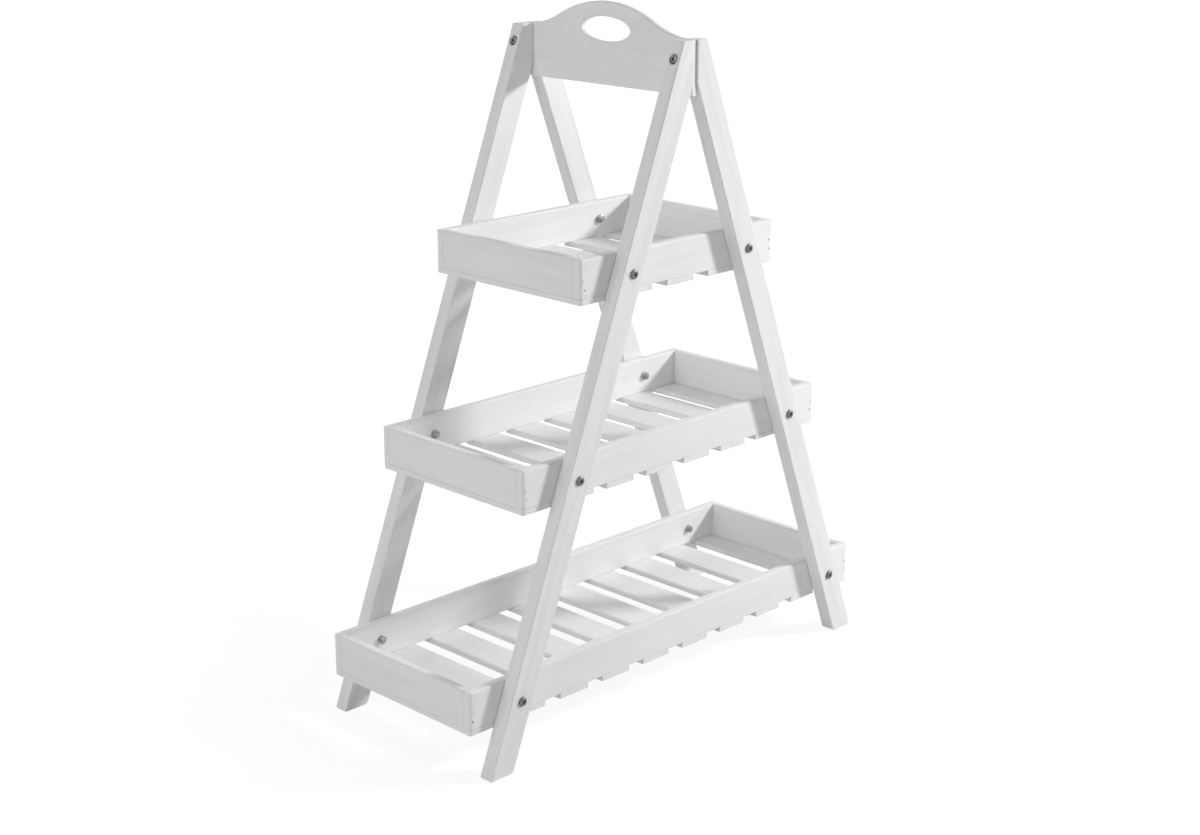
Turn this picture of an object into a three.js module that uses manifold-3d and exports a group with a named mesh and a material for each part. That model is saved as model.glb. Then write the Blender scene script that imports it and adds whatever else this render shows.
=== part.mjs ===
// A three-tier plant ladder: two A-frames carry three slatted trays, and an arched handle board joins
// the frames at the apex. Millimetres. X runs along the trays, Y is the depth and Z is up, with the
// origin on the floor at the middle of the footprint.
import * as THREE from 'three';
import { mergeVertices } from 'three/addons/utils/BufferGeometryUtils.js';
import Module from 'manifold-3d';

const wasm = await Module();
wasm.setup();

// ---- Driving dimensions ----------------------------------------------------------------------------

// Overall
const LENGTH = 580; // of the bottom tray, the widest piece
const DEPTH = 245; // across the heads of the front and rear tray bolts
const HEIGHT = 715; // floor to the crown of the handle board

// Legs
const FOOT_INSET = 11; // from the bottom tray's end back to the outer edge of the foot
const APEX_WIDTH = 34; // outer edge to outer edge across the leg tops
const LEG_WIDTH = 28; // of the timber, square to its length
const LEG_THICKNESS = 16;
const FOOT_ROUND = 6; // sanded inner corner of each foot

// Handle board
const HANDLE_THICKNESS = 6;
const HANDLE_RECESS = 2; // of its ends behind the outer faces of the legs
const CROWN_RISE = 29; // crown of the board above the leg tops
const CROWN_WIDTH = 130; // of the rounded crown, between the points where its curve turns hollow
const SHOULDER_FLAT = 2; // level stretch at each end of the top edge
const HANDLE_SKIRT = 54; // straight bottom edge of the board below the leg tops
const HAND_HOLE_WIDTH = 68;
const HAND_HOLE_HEIGHT = 24.5;
const HAND_HOLE_DROP = 27.5; // from the crown to the middle of the hand hole

// Trays
const BOARD_THICKNESS = 10;
const BOARD_HEIGHT = 39;
const RIM_ROUND = 2.5; // of the boards' top edges
const TRAY_ROUND = 4; // of a tray's four upright corners
const SEAM_ROUND = 0.4; // of edges that meet another piece flush
const SLAT_WIDTH = 40;
const SLAT_THICKNESS = 6;
const SLAT_ROUND = 2; // of the slats' long top edges
const SLAT_EASE = 1; // of their other edges
const SLAT_GAP = 20; // the gap aimed at; each tray spreads its slats evenly
const TOP_RIM = 490; // height of the top tray's rim, the boards' top edge
const MIDDLE_RIM = 298;
const BOTTOM_RIM = 92;
const TOP_OVERHANG = 56.5; // from the leg bolts out to the end of the top tray
const MIDDLE_OVERHANG = 60.5;

// Bolts, each with its nut
const BOLT_DROP = 20; // from a tray's rim to its bolts
const APEX_BOLT_DROP = 17; // from the leg tops to the apex bolts
const SHANK_DIAMETER = 5;
const HEAD_DIAMETER = 9.5;
const HEAD_HEIGHT = 2.5;
const HEAD_RIM = 0.8; // straight edge under the dome of the head
const SOCKET_WIDTH = 3; // across flats
const SOCKET_DEPTH = 1.6;
const NUT_WIDTH = 8; // across flats
const NUT_HEIGHT = 4;
const BOLT_END = 2; // threads showing beyond the nut
const END_CHAMFER = 0.8;
const BORE_CLEARANCE = 0.3; // all round the shank
const POCKET_CLEARANCE = 0.5; // all round a head or a nut in its pocket

// Finish
const EASE = 0.6; // the broken edges of the legs and the handle board
const CORNER_CORE = 0.7; // radius left at a corner inside its broken edge
const BOARD_CORNER_STEPS = 3;
const LEG_CORNER_STEPS = 4;
const CURVE_STEPS = 16;
const ROUND_SEGMENTS = 12;
const DOME_STEPS = 3;
const CUT_OVERRUN = 1; // how far a cutting tool runs past the face it enters

// ---- Dependent dimensions --------------------------------------------------------------------------

const LEG_TOP = HEIGHT - CROWN_RISE;
const FOOT_REACH = LENGTH / 2 - FOOT_INSET; // from the middle plane to the outer edge of the foot
const LEAN = (FOOT_REACH - APEX_WIDTH / 2) / LEG_TOP; // sideways run of a leg for each unit of height
const LEG_SECTION = LEG_WIDTH * Math.hypot(1, LEAN); // the leg's width along a level line
const FRAME_FACE = DEPTH / 2 - HEAD_HEIGHT; // outer face of the legs, from the middle plane
const TRAY_FACE = FRAME_FACE - LEG_THICKNESS; // outer face of the long boards
const TRAY_INNER = TRAY_FACE - BOARD_THICKNESS;
const LEG_MIDDLE = FRAME_FACE - LEG_THICKNESS / 2;
const HANDLE_END = FRAME_FACE - HANDLE_RECESS;
const TRAY_GRIP = LEG_THICKNESS + BOARD_THICKNESS;
const APEX_BOLT_LEVEL = LEG_TOP - APEX_BOLT_DROP;
const NUT_CORNER = NUT_WIDTH / 2 / Math.cos(Math.PI / 6); // radius to the nut's corners
const HEAD_POCKET = HEAD_DIAMETER / 2 + POCKET_CLEARANCE; // radius of a pocket in a left leg
const NUT_POCKET = NUT_CORNER + POCKET_CLEARANCE; // and in a right leg
const APEX_GRIP = pocketFloor(HEAD_POCKET) + pocketFloor(NUT_POCKET);
const BORE_RADIUS = SHANK_DIAMETER / 2 + BORE_CLEARANCE;
const CORNER_ROUND = EASE + CORNER_CORE;
const TOP_EDGES_ROUND = [SEAM_ROUND, SEAM_ROUND, RIM_ROUND, RIM_ROUND];
const EDGES_CRISP = [SEAM_ROUND, SEAM_ROUND, SEAM_ROUND, SEAM_ROUND];
const TRAYS = [
  { name: 'top', length: trayLength(TOP_RIM, TOP_OVERHANG), rim: TOP_RIM },
  { name: 'middle', length: trayLength(MIDDLE_RIM, MIDDLE_OVERHANG), rim: MIDDLE_RIM },
  { name: 'bottom', length: LENGTH, rim: BOTTOM_RIM },
];

// Distance from the middle plane to a leg's outer edge, inner edge and centre line at a height.
function legOuterEdge(level) {
  return FOOT_REACH - LEAN * level;
}

function legInnerEdge(level) {
  return legOuterEdge(level) - LEG_SECTION;
}

function legCentre(level) {
  return legOuterEdge(level) - LEG_SECTION / 2;
}

// A pocket is just deep enough at its upper rim for a full floor in the leaning edge of the leg.
function pocketFloor(radius) {
  return legOuterEdge(APEX_BOLT_LEVEL + radius);
}

function trayLength(rim, overhang) {
  return 2 * (legCentre(rim - BOLT_DROP) + overhang);
}

// ---- Materials -------------------------------------------------------------------------------------

const paintedWood = new THREE.MeshStandardMaterial({ color: 0xe9e8e4, roughness: 0.6, metalness: 0 });
const zincSteel = new THREE.MeshStandardMaterial({ color: 0x8f9093, roughness: 0.35, metalness: 1 });

// ---- Solids ----------------------------------------------------------------------------------------

function toSolid(geometry) {
  const bare = geometry.clone();
  bare.deleteAttribute('normal');
  bare.deleteAttribute('uv');
  const merged = mergeVertices(bare);
  return new wasm.Manifold(new wasm.Mesh({
    numProp: 3,
    vertProperties: new Float32Array(merged.attributes.position.array),
    triVerts: new Uint32Array(merged.index.array),
  }));
}

function toGeometry(solid) {
  const mesh = solid.getMesh();
  const geometry = new THREE.BufferGeometry();
  geometry.setAttribute('position', new THREE.BufferAttribute(mesh.vertProperties, mesh.numProp));
  geometry.setIndex(new THREE.BufferAttribute(mesh.triVerts, 1));
  geometry.computeVertexNormals();
  return geometry;
}

function cut(geometry, tools) {
  const solid = tools.reduce((rest, tool) => rest.subtract(toSolid(tool)), toSolid(geometry));
  return toGeometry(solid);
}

// An outline through corners of the form [x, y, radius], each rounded by its radius.
function roundedOutline(corners) {
  const shape = new THREE.Shape();
  corners.forEach(([x, y, radius], i) => {
    const corner = new THREE.Vector2(x, y);
    const [before, after] = [corners.at(i - 1), corners[(i + 1) % corners.length]].map(
      ([nextX, nextY]) => new THREE.Vector2(nextX, nextY).sub(corner).normalize(),
    );
    const reach = radius / Math.tan(before.angleTo(after) / 2);
    const start = before.multiplyScalar(reach).add(corner);
    const end = after.multiplyScalar(reach).add(corner);
    if (i === 0) shape.moveTo(start.x, start.y);
    else shape.lineTo(start.x, start.y);
    shape.quadraticCurveTo(x, y, end.x, end.y);
  });
  shape.closePath();
  return shape;
}

// A slab of timber with this outline, its middle plane at z = 0 and its edges broken on both faces.
function slab(shape, thickness, steps) {
  const geometry = new THREE.ExtrudeGeometry(shape, {
    depth: thickness - 2 * EASE,
    curveSegments: steps,
    bevelSegments: 1,
    bevelSize: EASE,
    bevelOffset: -EASE,
    bevelThickness: EASE,
  });
  return geometry.translate(0, 0, EASE - thickness / 2);
}

// A rectangle about the origin whose corners, anticlockwise from the lower left, have these radii.
function rectangle(width, height, [lowerLeft, lowerRight, upperRight, upperLeft]) {
  return roundedOutline([
    [-width / 2, -height / 2, lowerLeft],
    [width / 2, -height / 2, lowerRight],
    [width / 2, height / 2, upperRight],
    [-width / 2, height / 2, upperLeft],
  ]);
}

// A square-ended bar with this section, its length along Z and its middle at z = 0.
function bar(section, length) {
  const geometry = new THREE.ExtrudeGeometry(section, {
    depth: length,
    curveSegments: BOARD_CORNER_STEPS,
    bevelEnabled: false,
  });
  return geometry.translate(0, 0, -length / 2);
}

// What is left of a timber when each of its three views is cut to its own rectangle: the plan, the
// elevation seen along Y and the section seen along X. Each is given by its corner radii.
function railing(sizeX, sizeY, sizeZ, plan, elevation, section) {
  const fromAbove = bar(rectangle(sizeX, sizeY, plan), sizeZ);
  const alongY = bar(rectangle(sizeX, sizeZ, elevation), sizeY).rotateX(Math.PI / 2);
  const alongX = bar(rectangle(sizeY, sizeZ, section), sizeX).rotateX(Math.PI / 2).rotateZ(Math.PI / 2);
  return toGeometry(toSolid(fromAbove).intersect(toSolid(alongY)).intersect(toSolid(alongX)));
}

// A round cutter along Y or X, from one place on its axis to another.
function cutterAlongY(radius, x, z, from, to) {
  return new THREE.CylinderGeometry(radius, radius, to - from, ROUND_SEGMENTS)
    .translate(x, (from + to) / 2, z);
}

function cutterAlongX(radius, y, z, from, to) {
  return new THREE.CylinderGeometry(radius, radius, to - from, ROUND_SEGMENTS)
    .rotateZ(-Math.PI / 2)
    .translate((from + to) / 2, y, z);
}

function mesh(name, geometry, material, x = 0, y = 0, z = 0) {
  const piece = new THREE.Mesh(geometry, material);
  piece.name = name;
  piece.position.set(x, y, z);
  return piece;
}

// ---- Legs ------------------------------------------------------------------------------------------

// The leg on the +X side, seen from the front: a leaning plank with a level foot and a level top, cut
// upright where it bears on the handle board.
function legOutline() {
  const bearing = HANDLE_THICKNESS / 2;
  const bearingFoot = (legInnerEdge(0) - bearing) / LEAN;
  return roundedOutline([
    [legInnerEdge(0), 0, FOOT_ROUND],
    [legOuterEdge(0), 0, CORNER_ROUND],
    [legOuterEdge(LEG_TOP), LEG_TOP, CORNER_ROUND],
    [bearing, LEG_TOP, CORNER_ROUND],
    [bearing, bearingFoot, CORNER_ROUND],
  ]);
}

// A leg in its place. It is drilled for one bolt at each tray and one at the apex, whose head or nut
// sits square in a flat-bottomed pocket in the leaning outer edge.
function leg(sideX, sideY) {
  const plank = slab(legOutline(), LEG_THICKNESS, LEG_CORNER_STEPS)
    .rotateX(Math.PI / 2)
    .translate(0, LEG_MIDDLE, 0);
  const nearFace = TRAY_FACE - CUT_OVERRUN;
  const farFace = FRAME_FACE + CUT_OVERRUN;
  const trayBores = TRAYS.map(({ rim }) => {
    const level = rim - BOLT_DROP;
    return cutterAlongY(BORE_RADIUS, legCentre(level), level, nearFace, farFace);
  });
  const radius = sideX < 0 ? HEAD_POCKET : NUT_POCKET;
  const mouth = legOuterEdge(APEX_BOLT_LEVEL - radius) + CUT_OVERRUN;
  const apexBore = cutterAlongX(BORE_RADIUS, LEG_MIDDLE, APEX_BOLT_LEVEL, 0, mouth);
  const pocket = cutterAlongX(radius, LEG_MIDDLE, APEX_BOLT_LEVEL, pocketFloor(radius), mouth);
  return mirrored(cut(plank, [...trayBores, apexBore, pocket]), sideX, sideY);
}

// The mirror image across the middle planes, with its faces still pointing out.
function mirrored(geometry, sideX, sideY) {
  const image = geometry.clone().scale(sideX, sideY, 1);
  if (sideX * sideY < 0) image.setIndex(Array.from(image.index.array).reverse());
  return image;
}

// ---- Handle board ----------------------------------------------------------------------------------

// Seen along X: a straight bottom edge, square ends, and a top edge that sweeps up from level
// shoulders to the crown in two arcs that meet in a tangent, with an oval hole for the hand.
function handleOutline() {
  const run = HANDLE_END - SHOULDER_FLAT;
  const sweep = 2 * Math.atan(CROWN_RISE / run);
  const crownRadius = CROWN_WIDTH / 2 / Math.sin(sweep);
  const shoulderRadius = run / Math.sin(sweep) - crownRadius;
  const shape = new THREE.Shape();
  shape.moveTo(-HANDLE_END, LEG_TOP - HANDLE_SKIRT);
  shape.lineTo(HANDLE_END, LEG_TOP - HANDLE_SKIRT);
  shape.lineTo(HANDLE_END, LEG_TOP);
  shape.lineTo(run, LEG_TOP);
  shape.absarc(run, LEG_TOP + shoulderRadius, shoulderRadius, -Math.PI / 2, -Math.PI / 2 - sweep, true);
  shape.absarc(0, HEIGHT - crownRadius, crownRadius, Math.PI / 2 - sweep, Math.PI / 2 + sweep, false);
  shape.absarc(-run, LEG_TOP + shoulderRadius, shoulderRadius, -Math.PI / 2 + sweep, -Math.PI / 2, true);
  shape.lineTo(-HANDLE_END, LEG_TOP);
  shape.closePath();
  const hole = new THREE.Path();
  const holeLevel = HEIGHT - HAND_HOLE_DROP;
  hole.absellipse(0, holeLevel, HAND_HOLE_WIDTH / 2, HAND_HOLE_HEIGHT / 2, 0, 2 * Math.PI, true, 0);
  shape.holes.push(hole);
  return shape;
}

function handleBoard() {
  const blank = slab(handleOutline(), HANDLE_THICKNESS, CURVE_STEPS)
    .rotateX(Math.PI / 2)
    .rotateZ(Math.PI / 2);
  const reach = HANDLE_THICKNESS / 2 + CUT_OVERRUN;
  const bores = [-LEG_MIDDLE, LEG_MIDDLE].map(
    (y) => cutterAlongX(BORE_RADIUS, y, APEX_BOLT_LEVEL, -reach, reach),
  );
  return mesh('handle_board', cut(blank, bores), paintedWood);
}

// ---- Trays -----------------------------------------------------------------------------------------

// The front or rear board runs the whole length of its tray, outside the end boards. Its outer corners
// are sanded round.
function longBoard(tray, sideY) {
  const bores = [-1, 1].map((sideX) => cutterAlongY(
    BORE_RADIUS,
    sideX * legCentre(tray.rim - BOLT_DROP),
    BOARD_HEIGHT / 2 - BOLT_DROP,
    -BOARD_THICKNESS / 2 - CUT_OVERRUN,
    BOARD_THICKNESS / 2 + CUT_OVERRUN,
  ));
  const front = railing(
    tray.length,
    BOARD_THICKNESS,
    BOARD_HEIGHT,
    [TRAY_ROUND, TRAY_ROUND, SEAM_ROUND, SEAM_ROUND],
    TOP_EDGES_ROUND,
    TOP_EDGES_ROUND,
  );
  const name = `${tray.name}_tray_${sideY < 0 ? 'front' : 'rear'}_board`;
  const y = sideY * (TRAY_FACE - BOARD_THICKNESS / 2);
  const piece = mesh(name, cut(front, bores), paintedWood, 0, y, tray.rim - BOARD_HEIGHT / 2);
  if (sideY > 0) piece.rotation.z = Math.PI;
  return piece;
}

function endBoard(tray, sideX) {
  const geometry = railing(
    BOARD_THICKNESS,
    2 * TRAY_INNER,
    BOARD_HEIGHT,
    EDGES_CRISP,
    TOP_EDGES_ROUND,
    EDGES_CRISP,
  );
  const name = `${tray.name}_tray_${sideX < 0 ? 'left' : 'right'}_end`;
  const x = sideX * (tray.length - BOARD_THICKNESS) / 2;
  return mesh(name, geometry, paintedWood, x, 0, tray.rim - BOARD_HEIGHT / 2);
}

// A slat is rounded along the top, except at its ends, where it bears on the long boards, and on a side
// that is flush with an end board. There its corners take up the round of the tray's.
function slat(atLeftEnd, atRightEnd) {
  const leftCorner = atLeftEnd ? TRAY_ROUND : SLAT_EASE;
  const rightCorner = atRightEnd ? TRAY_ROUND : SLAT_EASE;
  const leftEdge = atLeftEnd ? SEAM_ROUND : SLAT_ROUND;
  const rightEdge = atRightEnd ? SEAM_ROUND : SLAT_ROUND;
  return railing(
    SLAT_WIDTH,
    2 * TRAY_FACE,
    SLAT_THICKNESS,
    [leftCorner, rightCorner, rightCorner, leftCorner],
    [SLAT_EASE, SLAT_EASE, rightEdge, leftEdge],
    [SLAT_EASE, SLAT_EASE, SEAM_ROUND, SEAM_ROUND],
  );
}

// The slats lie across the tray under its boards, evenly spread from one end board to the other.
function slats(tray) {
  const span = tray.length - SLAT_WIDTH;
  const gaps = Math.round(span / (SLAT_WIDTH + SLAT_GAP));
  const level = tray.rim - BOARD_HEIGHT - SLAT_THICKNESS / 2;
  return Array.from({ length: gaps + 1 }, (_, i) => mesh(
    `${tray.name}_tray_slat_${i + 1}`,
    slat(i === 0, i === gaps),
    paintedWood,
    (i / gaps - 1 / 2) * span,
    0,
    level,
  ));
}

// ---- Bolts -----------------------------------------------------------------------------------------

// A hexagonal prism along Y, given by the radius to its corners.
function hexagon(radius, from, to) {
  return new THREE.CylinderGeometry(radius, radius, to - from, 6).translate(0, (from + to) / 2, 0);
}

// A disc along Y whose faces slope back outside the nut's flats. It takes the corners off the nut.
function nutCorners(from, to) {
  const flat = NUT_WIDTH / 2;
  const slope = (NUT_CORNER - flat) * Math.tan(Math.PI / 6);
  return new THREE.LatheGeometry([
    new THREE.Vector2(0, from),
    new THREE.Vector2(flat, from),
    new THREE.Vector2(NUT_CORNER, from + slope),
    new THREE.Vector2(NUT_CORNER, to - slope),
    new THREE.Vector2(flat, to),
    new THREE.Vector2(0, to),
  ], ROUND_SEGMENTS);
}

// A domed bolt with a hexagon socket and its nut run home, as one piece along Y. The head bears at
// y = 0, with the dome on the -Y side, and the nut bears at y = grip.
function boltGeometry(grip) {
  const end = grip + NUT_HEIGHT + BOLT_END;
  const shank = SHANK_DIAMETER / 2;
  const domeHeight = HEAD_HEIGHT - HEAD_RIM;
  const dome = Array.from({ length: DOME_STEPS + 1 }, (_, i) => {
    const angle = (i / DOME_STEPS) * Math.PI / 2;
    return new THREE.Vector2(
      shank + (HEAD_DIAMETER / 2 - shank) * Math.sin(angle),
      -HEAD_RIM - domeHeight * Math.cos(angle),
    );
  });
  const profile = [
    new THREE.Vector2(0, -HEAD_HEIGHT),
    ...dome,
    new THREE.Vector2(HEAD_DIAMETER / 2, 0),
    new THREE.Vector2(shank, 0),
    new THREE.Vector2(shank, end - END_CHAMFER),
    new THREE.Vector2(shank - END_CHAMFER, end),
    new THREE.Vector2(0, end),
  ];
  const turned = toSolid(new THREE.LatheGeometry(profile, ROUND_SEGMENTS));
  const socketCorner = SOCKET_WIDTH / 2 / Math.cos(Math.PI / 6);
  const socket = hexagon(socketCorner, -HEAD_HEIGHT - CUT_OVERRUN, SOCKET_DEPTH - HEAD_HEIGHT);
  const nutBlank = toSolid(hexagon(NUT_CORNER, grip, grip + NUT_HEIGHT));
  const nut = nutBlank.intersect(toSolid(nutCorners(grip, grip + NUT_HEIGHT)));
  return toGeometry(turned.subtract(toSolid(socket)).add(nut));
}

function trayBolt(tray, sideX, sideY) {
  const level = tray.rim - BOLT_DROP;
  const name = `bolt_${tray.name}_${sideY < 0 ? 'front' : 'rear'}_${sideX < 0 ? 'left' : 'right'}`;
  const bolt = mesh(name, boltGeometry(TRAY_GRIP), zincSteel);
  bolt.position.set(sideX * legCentre(level), sideY * FRAME_FACE, level);
  if (sideY > 0) bolt.rotation.z = Math.PI;
  return bolt;
}

// An apex bolt runs along X through the left leg, the handle board and the right leg.
function apexBolt(sideY) {
  const name = `bolt_apex_${sideY < 0 ? 'front' : 'rear'}`;
  const bolt = mesh(name, boltGeometry(APEX_GRIP), zincSteel);
  bolt.position.set(-pocketFloor(HEAD_POCKET), sideY * LEG_MIDDLE, APEX_BOLT_LEVEL);
  bolt.rotation.z = -Math.PI / 2;
  return bolt;
}

// ---- Assembly --------------------------------------------------------------------------------------

const stand = new THREE.Group();
const frames = new THREE.Group();
for (const sideY of [-1, 1]) {
  for (const sideX of [-1, 1]) {
    const name = `leg_${sideY < 0 ? 'front' : 'rear'}_${sideX < 0 ? 'left' : 'right'}`;
    frames.add(mesh(name, leg(sideX, sideY), paintedWood));
  }
  frames.add(apexBolt(sideY));
}
frames.add(handleBoard());
stand.add(frames);

for (const tray of TRAYS) {
  const group = new THREE.Group();
  for (const side of [-1, 1]) {
    group.add(longBoard(tray, side), endBoard(tray, side));
    group.add(trayBolt(tray, side, -1), trayBolt(tray, side, 1));
  }
  group.add(...slats(tray));
  stand.add(group);
}

export default stand;
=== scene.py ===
import math
import random

import bmesh
import bpy
from mathutils import Matrix, Vector


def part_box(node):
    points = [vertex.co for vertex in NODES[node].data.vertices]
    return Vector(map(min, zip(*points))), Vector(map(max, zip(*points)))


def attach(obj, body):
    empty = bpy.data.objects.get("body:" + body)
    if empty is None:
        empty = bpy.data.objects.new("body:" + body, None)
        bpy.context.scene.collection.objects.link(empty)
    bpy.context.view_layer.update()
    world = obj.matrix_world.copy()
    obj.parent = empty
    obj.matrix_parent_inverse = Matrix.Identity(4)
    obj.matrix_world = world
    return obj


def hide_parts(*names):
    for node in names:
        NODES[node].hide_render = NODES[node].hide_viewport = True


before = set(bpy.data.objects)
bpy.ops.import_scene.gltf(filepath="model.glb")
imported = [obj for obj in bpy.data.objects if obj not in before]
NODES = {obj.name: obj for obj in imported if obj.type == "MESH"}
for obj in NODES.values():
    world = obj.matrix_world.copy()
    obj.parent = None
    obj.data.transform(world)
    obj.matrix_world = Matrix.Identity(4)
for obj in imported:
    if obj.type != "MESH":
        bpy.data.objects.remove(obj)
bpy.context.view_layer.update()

scene = bpy.context.scene
TRAYS = ("top", "middle", "bottom")
TAU = 2 * math.pi


# ---- Camera ----------------------------------------------------------------------------------------

CAMERA_AT = Vector((-1.4495, -1.4230, 0.9017))
CAMERA_AIM = Vector((-0.0172, -0.0082, 0.2876))
CAMERA_ROLL = math.radians(0.10)
LENS = 60.31
SENSOR_WIDTH = 36
CLIP_NEAR = 0.05
CLIP_FAR = 50

camera = bpy.data.objects.new("camera", bpy.data.cameras.new("camera"))
camera.data.sensor_fit = "HORIZONTAL"
camera.data.sensor_width = SENSOR_WIDTH
camera.data.lens = LENS
camera.data.clip_start = CLIP_NEAR
camera.data.clip_end = CLIP_FAR
look = (CAMERA_AIM - CAMERA_AT).to_track_quat("-Z", "Y").to_matrix().to_4x4()
camera.matrix_world = Matrix.Translation(CAMERA_AT) @ look @ Matrix.Rotation(CAMERA_ROLL, 4, "Z")
scene.collection.objects.link(camera)
scene.camera = camera
scene.view_settings.view_transform = "Standard"


# ---- Shader helpers --------------------------------------------------------------------------------

def new_material(name):
    material = bpy.data.materials.new(name)
    material.use_nodes = True
    material.node_tree.nodes.clear()
    return material, material.node_tree


def add(tree, kind, inputs=None, **settings):
    """Adds a node. An input that is a socket is linked, and any other value is set."""
    node = tree.nodes.new(kind)
    for key, value in settings.items():
        setattr(node, key, value)
    for key, value in (inputs or {}).items():
        if isinstance(value, bpy.types.NodeSocket):
            tree.links.new(value, node.inputs[key])
        else:
            node.inputs[key].default_value = value
    return node


def noise(tree, vector, scale, detail=4.0, roughness=0.5, distortion=0.0):
    node = add(tree, "ShaderNodeTexNoise", {
        "Vector": vector, "Scale": scale, "Detail": detail, "Roughness": roughness,
        "Distortion": distortion,
    })
    return node.outputs["Fac"]


def remap(tree, value, low, high, to_low, to_high, smooth=False):
    node = add(tree, "ShaderNodeMapRange", {
        "Value": value, "From Min": low, "From Max": high, "To Min": to_low, "To Max": to_high,
    })
    if smooth:
        node.interpolation_type = "SMOOTHSTEP"
    return node.outputs["Result"]


def math_node(tree, operation, a, b):
    return add(tree, "ShaderNodeMath", {0: a, 1: b}, operation=operation).outputs[0]


def mix_colour(tree, factor, a, b):
    # Of the mix node's sockets, inputs 0, 6 and 7 are the factor and the colours, and output 2 is a colour.
    return add(tree, "ShaderNodeMix", {0: factor, 6: a, 7: b}, data_type="RGBA").outputs[2]


def scaled(tree, vector, scale):
    return add(tree, "ShaderNodeMapping", {"Vector": vector, "Scale": scale}).outputs["Vector"]


def surface(tree, shader):
    """Ends a material's tree in its shader."""
    add(tree, "ShaderNodeOutputMaterial", {"Surface": shader.outputs[0]})


def seen_directly(tree):
    """1 for rays from the camera or by way of a mirror or glass, and 0 for the rays that light things."""
    rays = add(tree, "ShaderNodeLightPath").outputs
    seen = math_node(tree, "MAXIMUM", rays["Is Camera Ray"], rays["Is Glossy Ray"])
    return math_node(tree, "MAXIMUM", seen, rays["Is Transmission Ray"])


# ---- Painted wood ----------------------------------------------------------------------------------

def grey(level):
    return (level, level, level, 1)


PAINT = grey(0.87)
PAINT_SHADE = grey(0.79)
PAINT_THIN = grey(0.72)
# Painted shade: the dark grey that seams and creases are darkened towards.
CREVICE_SHADE = grey(0.45)
BROKEN_EDGE = 0.0013  # radius of the softened edges
CREVICE_SHADE_REACH = 0.0012  # how far the shade painted into seams and creases reaches
RELIEF = 0.0006  # depth of the grain and brush marks


def painted_wood(name, turn, figure):
    """White paint over planed softwood. turn brings the grain's direction onto X, and figure says how
    strongly the grain shows through."""
    material, tree = new_material(name)
    place = add(tree, "ShaderNodeTexCoord").outputs["Object"]
    grain = add(tree, "ShaderNodeMapping", {"Vector": place, "Rotation": turn}).outputs["Vector"]
    along = scaled(tree, grain, (0.05, 1, 1))
    fine = scaled(tree, grain, (0.02, 1, 1))

    # Growth rings that show through the paint as long, slightly wandering bands.
    bend = noise(tree, scaled(tree, grain, (0.25, 1, 1)), 14, 2)
    wander = add(tree, "ShaderNodeVectorMath", {
        0: along,
        1: add(tree, "ShaderNodeCombineXYZ", {
            "Y": remap(tree, bend, 0.3, 0.7, -0.007, 0.007),
            "Z": remap(tree, bend, 0.3, 0.7, 0.006, -0.006),
        }).outputs[0],
    }, operation="ADD").outputs[0]
    bands = noise(tree, wander, 95, 3, 0.5, 0.25)
    rings = noise(tree, wander, 260, 4, 0.6, 0.3)
    pores = noise(tree, fine, 900, 3, 0.6)
    brush = noise(tree, fine, 420, 4, 0.55, 0.2)
    patches = noise(tree, grain, 9, 3)

    tone = mix_colour(tree, remap(tree, bands, 0.42, 0.68, 0, 0.62 * figure, True), PAINT, PAINT_SHADE)
    tone = mix_colour(tree, remap(tree, rings, 0.52, 0.72, 0, 0.42 * figure, True), tone, PAINT_SHADE)
    tone = mix_colour(tree, remap(tree, pores, 0.62, 0.80, 0, 0.30 * figure, True), tone, PAINT_THIN)
    tone = mix_colour(tree, remap(tree, patches, 0.35, 0.7, 0, 0.16, True), tone, PAINT_SHADE)

    # Paint rubbed thin here and there along the broken edges.
    normal = add(tree, "ShaderNodeNewGeometry").outputs["Normal"]
    rounded = add(tree, "ShaderNodeBevel", {"Radius": BROKEN_EDGE}, samples=6).outputs["Normal"]
    flatness = add(tree, "ShaderNodeVectorMath", {0: normal, 1: rounded}, operation="DOT_PRODUCT")
    edge = remap(tree, flatness.outputs["Value"], 0.99, 0.86, 0, 1, True)
    worn = remap(tree, noise(tree, grain, 45, 5, 0.7), 0.56, 0.70, 0, 0.5, True)
    tone = mix_colour(tree, math_node(tree, "MULTIPLY", edge, worn), tone, PAINT_THIN)

    # Painted shade: the paint is darkened towards a dark grey in the seams and creases between the timbers
    # and around the bolts, wherever ambient occlusion finds nearby parts.
    open_air = add(tree, "ShaderNodeAmbientOcclusion", {"Distance": CREVICE_SHADE_REACH}, samples=6).outputs["AO"]
    tone = mix_colour(tree, remap(tree, open_air, 0.75, 0.25, 0, 0.6, True), tone, CREVICE_SHADE)

    # Grain and brush marks that can be felt.
    ring_relief = math_node(tree, "MULTIPLY", rings, 0.5)
    brush_relief = math_node(tree, "MULTIPLY", brush, 0.45)
    pore_relief = math_node(tree, "MULTIPLY", pores, 0.25)
    relief = math_node(tree, "ADD", math_node(tree, "ADD", ring_relief, brush_relief), pore_relief)
    bump = add(tree, "ShaderNodeBump", {
        "Height": relief, "Strength": 0.32, "Distance": RELIEF, "Normal": rounded,
    }).outputs["Normal"]
    shader = add(tree, "ShaderNodeBsdfPrincipled", {
        "Base Color": tone,
        "Roughness": remap(tree, brush, 0.3, 0.7, 0.46, 0.66),
        "Normal": bump,
        "Specular IOR Level": 0.4,
    })
    surface(tree, shader)
    return material


def dress(names, material):
    """Gives the CAD nodes of these names one material."""
    for name in names:
        data = NODES[name].data
        data.materials.clear()
        data.materials.append(material)
        for face in data.polygons:
            face.material_index = 0


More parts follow.
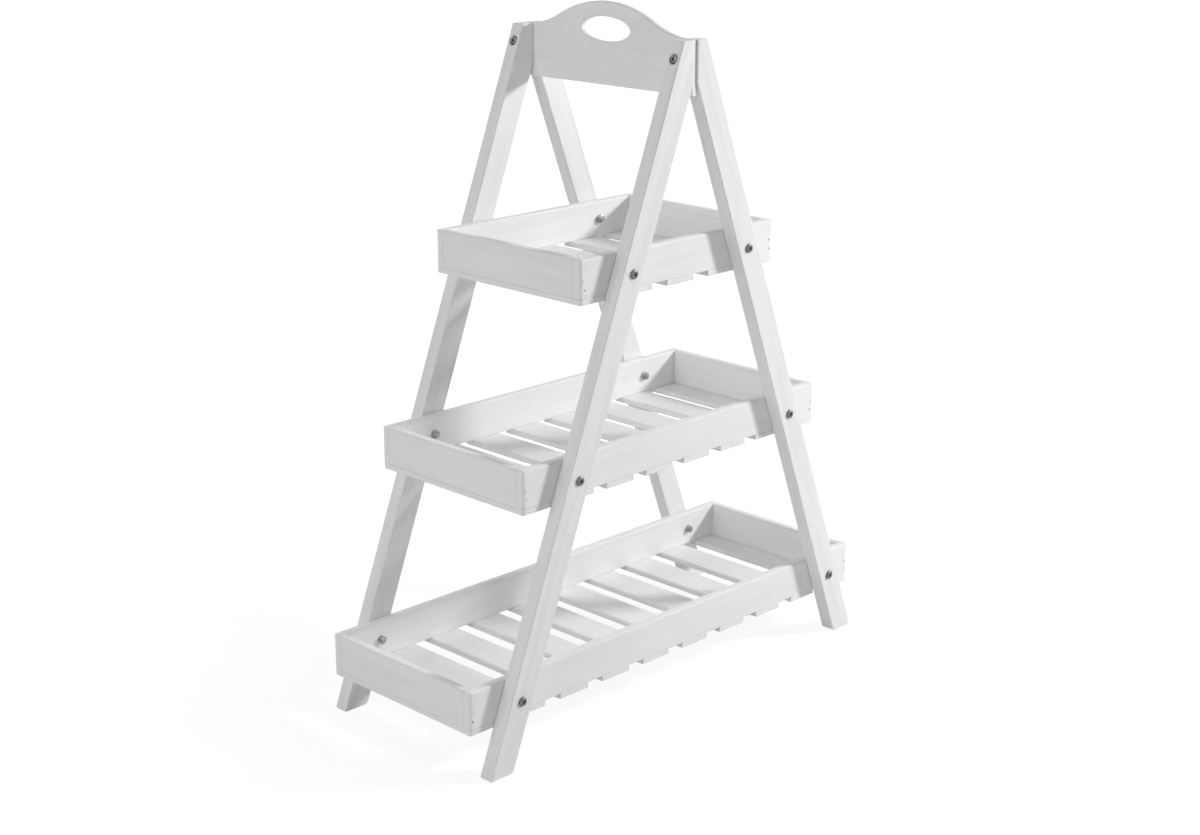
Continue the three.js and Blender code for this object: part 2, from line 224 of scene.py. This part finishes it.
LEG_LEAN = math.atan(0.382)  # from the vertical
ACROSS = math.pi / 2
WOOD = {
    "along_x": painted_wood("painted_wood_along_x", (0, 0, 0), 0.55),
    "along_y": painted_wood("painted_wood_along_y", (0, 0, -ACROSS), 0.7),
    "left_legs": painted_wood("painted_wood_left_legs", (0, ACROSS - LEG_LEAN, 0), 1.0),
    "right_legs": painted_wood("painted_wood_right_legs", (0, ACROSS + LEG_LEAN, 0), 1.0),
}
dress([n for n in NODES if n.endswith("_board") and "tray" in n], WOOD["along_x"])
dress([n for n in NODES if n.endswith("_end") or "_slat_" in n], WOOD["along_y"])
dress(["handle_board"], WOOD["along_y"])
dress(["leg_front_left", "leg_rear_left"], WOOD["left_legs"])
dress(["leg_front_right", "leg_rear_right"], WOOD["right_legs"])


# ---- Zinc-plated steel -----------------------------------------------------------------------------

DULL_SHARE = 0.72  # how bright the plating's dull patches are, as a share of its clean parts


def zinc_steel(name, level, roughness):
    """Plated steel with a cloudy, slightly gritty surface. level is how bright its clean parts are."""
    material, tree = new_material(name)
    place = add(tree, "ShaderNodeTexCoord").outputs["Object"]
    clouds = noise(tree, place, 450, 5, 0.6)
    grit = noise(tree, place, 2600, 3, 0.6)
    dullness = remap(tree, clouds, 0.35, 0.65, 0, 1, True)
    tone = mix_colour(tree, dullness, grey(level), grey(DULL_SHARE * level))
    bump = add(tree, "ShaderNodeBump", {"Height": grit, "Strength": 0.25, "Distance": 0.0001})
    shader = add(tree, "ShaderNodeBsdfPrincipled", {
        "Base Color": tone,
        "Metallic": 1.0,
        "Roughness": remap(tree, clouds, 0.3, 0.7, roughness - 0.06, roughness + 0.1),
        "Normal": bump.outputs["Normal"],
    })
    surface(tree, shader)
    return material


BOLT_STEEL = zinc_steel("zinc_steel", 0.19, 0.3)
NUT_STEEL = zinc_steel("bright_zinc_steel", 0.48, 0.28)
NAIL_STEEL = zinc_steel("nail_steel", 0.36, 0.45)
dress([n for n in NODES if n.startswith("bolt_")], BOLT_STEEL)


# ---- Mesh helpers ----------------------------------------------------------------------------------

CREASE = math.radians(32)  # faces that meet at more than this stay sharp


def finish_piece(bm, name, material):
    bmesh.ops.recalc_face_normals(bm, faces=bm.faces[:])
    data = bpy.data.meshes.new(name)
    bm.to_mesh(data)
    bm.free()
    piece = bpy.data.objects.new(name, data)
    scene.collection.objects.link(piece)
    data.materials.append(material)
    for face in data.polygons:
        face.use_smooth = True
    data.set_sharp_from_angle(angle=CREASE)
    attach(piece, "root")
    return piece


def loft(bm, rings, start_point, end_point):
    """Skins rings of equal count, and closes each end in a fan to its point."""
    rows = [[bm.verts.new(p) for p in ring] for ring in rings]
    count = len(rows[0])
    for a, b in zip(rows, rows[1:]):
        for i in range(count):
            j = (i + 1) % count
            bm.faces.new((a[i], a[j], b[j], b[i]))
    for row, point in ((rows[0], start_point), (rows[-1], end_point)):
        tip = bm.verts.new(point)
        for i in range(count):
            bm.faces.new((row[i], row[(i + 1) % count], tip))


# ---- Bolts -----------------------------------------------------------------------------------------

SEGMENTS = 48
HEAD = 0.0025  # height
HEAD_RADIUS = 0.00475
HEAD_RIM = 0.0008  # height of its upright rim below the dome
HEAD_BREAK = 0.00012  # where the rim meets the timber
CROWN_RADIUS = 0.0026  # flat top of the dome, around the socket
DOME_STEPS = 8
SOCKET_FLATS = 0.003
SOCKET_DEPTH = 0.0014
SOCKET_BREAK = 0.00015
SOCKET_POINT = 0.0003  # drilled into the socket's floor
SHANK = 0.0025  # radius
NUT_FLATS = 0.008
NUT_FACE_RADIUS = 0.0038
NUT = 0.004  # height
NUT_MOUTH = 0.0005  # how much wider than the shank its countersink is
NUT_MOUTH_DEPTH = 0.0004
NUT_MOUTH_FOOT = 0.0002  # how far inside the shank the countersink ends
END = 0.002  # of the bolt, standing out of the nut
PITCH = 0.0008
THREAD_ROOT = 0.00055  # these four are measured in from the shank
THREAD_CREST = 0.0001
END_SHOULDER = 0.0006
END_TAPER = 0.0009
PLAIN_END = 0.0007  # where no thread starts
HAIR = 0.0001  # a step too small to be seen
ANGLES = [TAU * i / SEGMENTS for i in range(SEGMENTS)]
SIXTH = math.pi / 3


def circle(radius, y):
    return [Vector((radius * math.cos(a), y, radius * math.sin(a))) for a in ANGLES]


def hexagon_radius(angle, flats):
    return flats / 2 / math.cos((angle + SIXTH / 2) % SIXTH - SIXTH / 2)


def hexagon(flats, y):
    return [
        Vector((hexagon_radius(a, flats) * math.cos(a), y, hexagon_radius(a, flats) * math.sin(a)))
        for a in ANGLES
    ]


def chamfered(flats, face, inward):
    """The edge where a nut's 30 degree chamfer meets its flats."""
    ring = []
    for a in ANGLES:
        radius = hexagon_radius(a, flats)
        drop = (radius - NUT_FACE_RADIUS) * math.tan(SIXTH / 2)
        ring.append(Vector((radius * math.cos(a), face + inward * drop, radius * math.sin(a))))
    return ring


def bolt_rings(grip):
    """A button-headed socket bolt with its nut, from the socket's floor to the end. It points along +Y,
    with the underside of its head at 0 and the nut's inner face at grip."""
    dome = []
    for i in range(DOME_STEPS + 1):
        t = math.pi / 2 * i / DOME_STEPS
        radius = CROWN_RADIUS + (HEAD_RADIUS - CROWN_RADIUS) * math.sin(t)
        dome.append(circle(radius, -HEAD_RIM - (HEAD - HEAD_RIM) * math.cos(t)))
    nut_end = grip + NUT
    rings = [
        hexagon(SOCKET_FLATS * 0.96, -HEAD + SOCKET_DEPTH + HAIR),
        hexagon(SOCKET_FLATS, -HEAD + SOCKET_DEPTH),
        hexagon(SOCKET_FLATS, -HEAD + SOCKET_BREAK),
        hexagon(SOCKET_FLATS * 1.07, -HEAD),
        *dome,
        circle(HEAD_RADIUS, -HEAD_BREAK),
        circle(HEAD_RADIUS - HEAD_BREAK, 0),
        circle(SHANK, 0),
        circle(SHANK, grip),
        circle(NUT_FACE_RADIUS, grip),
        chamfered(NUT_FLATS, grip, 1),
        chamfered(NUT_FLATS, nut_end, -1),
        circle(NUT_FACE_RADIUS, nut_end),
        circle(SHANK + NUT_MOUTH, nut_end),
        circle(SHANK - NUT_MOUTH_FOOT, nut_end - NUT_MOUTH_DEPTH),
    ]
    y = nut_end
    while y < nut_end + END - PLAIN_END:
        rings.append(circle(SHANK - THREAD_ROOT, y))
        rings.append(circle(SHANK - THREAD_CREST, y + 0.4 * PITCH))
        rings.append(circle(SHANK - THREAD_CREST, y + 0.55 * PITCH))
        y += PITCH
    rings.append(circle(SHANK - END_SHOULDER, nut_end + END - HAIR))
    rings.append(circle(SHANK - END_TAPER, nut_end + END))
    return rings


def bolt(node):
    """A bolt and its nut in the place of a CAD bolt, turned about its axis by a chance angle."""
    low, high = (Vector(corner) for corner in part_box(node))
    along_x = "apex" in node
    axis = 0 if along_x else 1
    grip = high[axis] - low[axis] - HEAD - NUT - END
    middle = (low + high) / 2
    bm = bmesh.new()
    socket_floor = Vector((0, -HEAD + SOCKET_DEPTH + SOCKET_POINT, 0))
    loft(bm, bolt_rings(grip), socket_floor, Vector((0, grip + NUT + END, 0)))
    place = Matrix.Rotation(random.Random(node).uniform(0, TAU), 4, "Y")
    if along_x:
        place = Matrix.Rotation(-math.pi / 2, 4, "Z") @ place
        start = Vector((low.x + HEAD, middle.y, middle.z))
    elif "rear" in node:
        place = Matrix.Rotation(math.pi, 4, "Z") @ place
        start = Vector((middle.x, high.y - HEAD, middle.z))
    else:
        start = Vector((middle.x, low.y + HEAD, middle.z))
    for face in bm.faces:
        face.material_index = 1 if face.calc_center_median().y > grip - HAIR else 0
    bmesh.ops.transform(bm, matrix=Matrix.Translation(start) @ place, verts=bm.verts[:])
    piece = finish_piece(bm, f"fine_{node}", BOLT_STEEL)
    piece.data.materials.append(NUT_STEEL)
    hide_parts(node)


for node in sorted(n for n in NODES if n.startswith("bolt_")):
    bolt(node)


# ---- Nails -----------------------------------------------------------------------------------------

NAIL_DROPS = (0.0213, 0.0297)  # below the rim
NAIL_RADIUS = 0.0010
FILLED_RADIUS = 0.0014
BARE_SHARE = 0.4  # of the nails show metal, and the rest are filled and painted
BRAD_RADIUS = 0.0011
BRAD_SPREAD = 0.011  # each side of the slat's middle
PROUD = 0.00018
SUNK = 0.0004
HEAD_SIDES = 16
NAIL_WANDER_X = 0.0012
NAIL_WANDER_Z = 0.0008
BRAD_WANDER_X = 0.0015
BRAD_WANDER_Y = 0.001


def painted_filler():
    """Paint over the sunk head of a nail, a little greyer than the paint around it."""
    material, tree = new_material("painted_filler")
    place = add(tree, "ShaderNodeTexCoord").outputs["Object"]
    tone = mix_colour(tree, noise(tree, place, 900, 3), grey(0.60), grey(0.76))
    surface(tree, add(tree, "ShaderNodeBsdfPrincipled", {"Base Color": tone, "Roughness": 0.55}))
    return material


FILLER = painted_filler()


def nail_head(bm, point, outward, radius, proud, rng):
    """A flat-topped nail head at point, its rim slightly rounded, facing outward."""
    turn = rng.uniform(0, TAU)
    place = Matrix.Translation(point) @ outward.to_track_quat("Z", "Y").to_matrix().to_4x4()
    angles = [turn + TAU * i / HEAD_SIDES for i in range(HEAD_SIDES)]

    def ring(r, z):
        return [place @ Vector((r * math.cos(a), r * math.sin(a), z)) for a in angles]

    rings = [
        ring(radius * 0.9, -SUNK),
        ring(radius, 0.0),
        ring(radius * 0.97, proud * 0.7),
        ring(radius * 0.82, proud),
        ring(radius * 0.4, proud * 1.05),
    ]
    loft(bm, rings, place @ Vector((0, 0, -SUNK)), place @ Vector((0, 0, proud * 1.05)))


def corner_nails(tray, low, high, rng):
    """Two nails at each end of the long boards, driven into the end boards. low and high are the corners
    of the front board's box."""
    end_low, end_high = (Vector(corner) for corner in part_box(f"{tray}_tray_right_end"))
    nail_x = (end_low.x + end_high.x) / 2
    bare = bmesh.new()
    filled = bmesh.new()
    for side_y in (-1, 1):
        for side_x in (-1, 1):
            for drop in NAIL_DROPS:
                point = Vector((
                    side_x * (nail_x + rng.uniform(-NAIL_WANDER_X, NAIL_WANDER_X)),
                    side_y * -low.y,
                    high.z - drop + rng.uniform(-NAIL_WANDER_Z, NAIL_WANDER_Z),
                ))
                shows = rng.random() < BARE_SHARE
                if (side_x, side_y) == (-1, -1):  # the near corner, as photographed
                    shows = drop == NAIL_DROPS[1] and tray != "middle"
                outward = Vector((0, side_y, 0))
                if shows:
                    nail_head(bare, point, outward, NAIL_RADIUS, PROUD, rng)
                else:
                    nail_head(filled, point, outward, FILLED_RADIUS, PROUD / 2, rng)
    finish_piece(bare, f"{tray}_tray_nails", NAIL_STEEL)
    finish_piece(filled, f"{tray}_tray_filled_nails", FILLER)


def slat_brads(tray, brad_y, rng):
    """Two brads at each end of a slat, driven up into the long boards brad_y from the middle."""
    down = Vector((0, 0, -1))
    bm = bmesh.new()
    for slat in sorted(n for n in NODES if n.startswith(f"{tray}_tray_slat_")):
        slat_low, slat_high = (Vector(corner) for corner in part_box(slat))
        middle = (slat_low.x + slat_high.x) / 2
        for side_y in (-1, 1):
            for side_x in (-1, 1):
                point = Vector((
                    middle + side_x * BRAD_SPREAD + rng.uniform(-BRAD_WANDER_X, BRAD_WANDER_X),
                    side_y * brad_y + rng.uniform(-BRAD_WANDER_Y, BRAD_WANDER_Y),
                    slat_low.z,
                ))
                nail_head(bm, point, down, BRAD_RADIUS, PROUD, rng)
    finish_piece(bm, f"{tray}_tray_slat_brads", NAIL_STEEL)


for tray in TRAYS:
    rng = random.Random(tray)
    low, high = (Vector(corner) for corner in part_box(f"{tray}_tray_front_board"))
    corner_nails(tray, low, high, rng)
    slat_brads(tray, -(low.y + high.y) / 2, rng)


# ---- Stage -----------------------------------------------------------------------------------------

WHITE = grey(1)
FLOOR_HALF = 14
FLOOR_DROP = 0.0005  # below the feet
FLOOR_PAINT = grey(0.8)
FLOOR_GLOW = 1.16
NEAR_REACH = 0.3  # from the stand's middle, inside which most of its shadow falls
FAR_REACH = 1.1
NEAR_SHARE = 0.74  # of the glow in what the camera sees there, and the rest is lit paint
AMBIENT = 0.25
BACKDROP = 1.0

# A pale floor that keeps the shadow near the feet and fades to plain white away from them.
floor_mesh = bpy.data.meshes.new("floor")
floor_bm = bmesh.new()
bmesh.ops.create_grid(floor_bm, x_segments=1, y_segments=1, size=FLOOR_HALF)
floor_bm.to_mesh(floor_mesh)
floor_bm.free()
floor = bpy.data.objects.new("floor", floor_mesh)
scene.collection.objects.link(floor)
floor.location.z = -FLOOR_DROP
floor_material, tree = new_material("floor")
position = add(tree, "ShaderNodeNewGeometry").outputs["Position"]
reach = add(tree, "ShaderNodeVectorMath", {0: position}, operation="LENGTH").outputs["Value"]
glow_share = remap(tree, reach, NEAR_REACH, FAR_REACH, NEAR_SHARE, 1.0, True)
plain = add(tree, "ShaderNodeBsdfDiffuse", {"Color": FLOOR_PAINT})
glow = add(tree, "ShaderNodeEmission", {"Color": WHITE, "Strength": FLOOR_GLOW})
surface(tree, add(tree, "ShaderNodeMixShader", {
    0: math_node(tree, "MULTIPLY", seen_directly(tree), glow_share),
    1: plain.outputs[0],
    2: glow.outputs[0],
}))
floor_mesh.materials.append(floor_material)

# The world is white where it is seen and lights the stand only softly.
world = bpy.data.worlds.new("studio")
scene.world = world
world.use_nodes = True
tree = world.node_tree
tree.nodes.clear()
ambient = add(tree, "ShaderNodeBackground", {"Color": WHITE, "Strength": AMBIENT})
backdrop = add(tree, "ShaderNodeBackground", {"Color": WHITE, "Strength": BACKDROP})
sky = add(tree, "ShaderNodeMixShader", {
    0: seen_directly(tree),
    1: ambient.outputs[0],
    2: backdrop.outputs[0],
})
add(tree, "ShaderNodeOutputWorld", {"Surface": sky.outputs[0]})

STAND_MIDDLE = Vector((0, 0, 0.3))
LAMPS = {  # name: (place, width of the square lamp, watts)
    "key": ((1.68, -1.34, 1.30), 0.3, 41),
    "fill_left": ((-2.05, 0.0, 0.9), 1.2, 12),
    "overhead": ((0.1, -0.1, 2.3), 1.3, 3),
    "fill_rear": ((0.2, 2.1, 1.1), 1.3, 14),
}


def lamp(name, place, width, watts):
    """A soft square lamp turned to the middle of the stand."""
    light = bpy.data.objects.new(name, bpy.data.lights.new(name, "AREA"))
    light.data.shape = "SQUARE"
    light.data.size = width
    light.data.energy = watts
    place = Vector(place)
    turn = (STAND_MIDDLE - place).to_track_quat("-Z", "Y").to_matrix().to_4x4()
    light.matrix_world = Matrix.Translation(place) @ turn
    scene.collection.objects.link(light)


for name, settings in LAMPS.items():
    lamp(name, *settings)
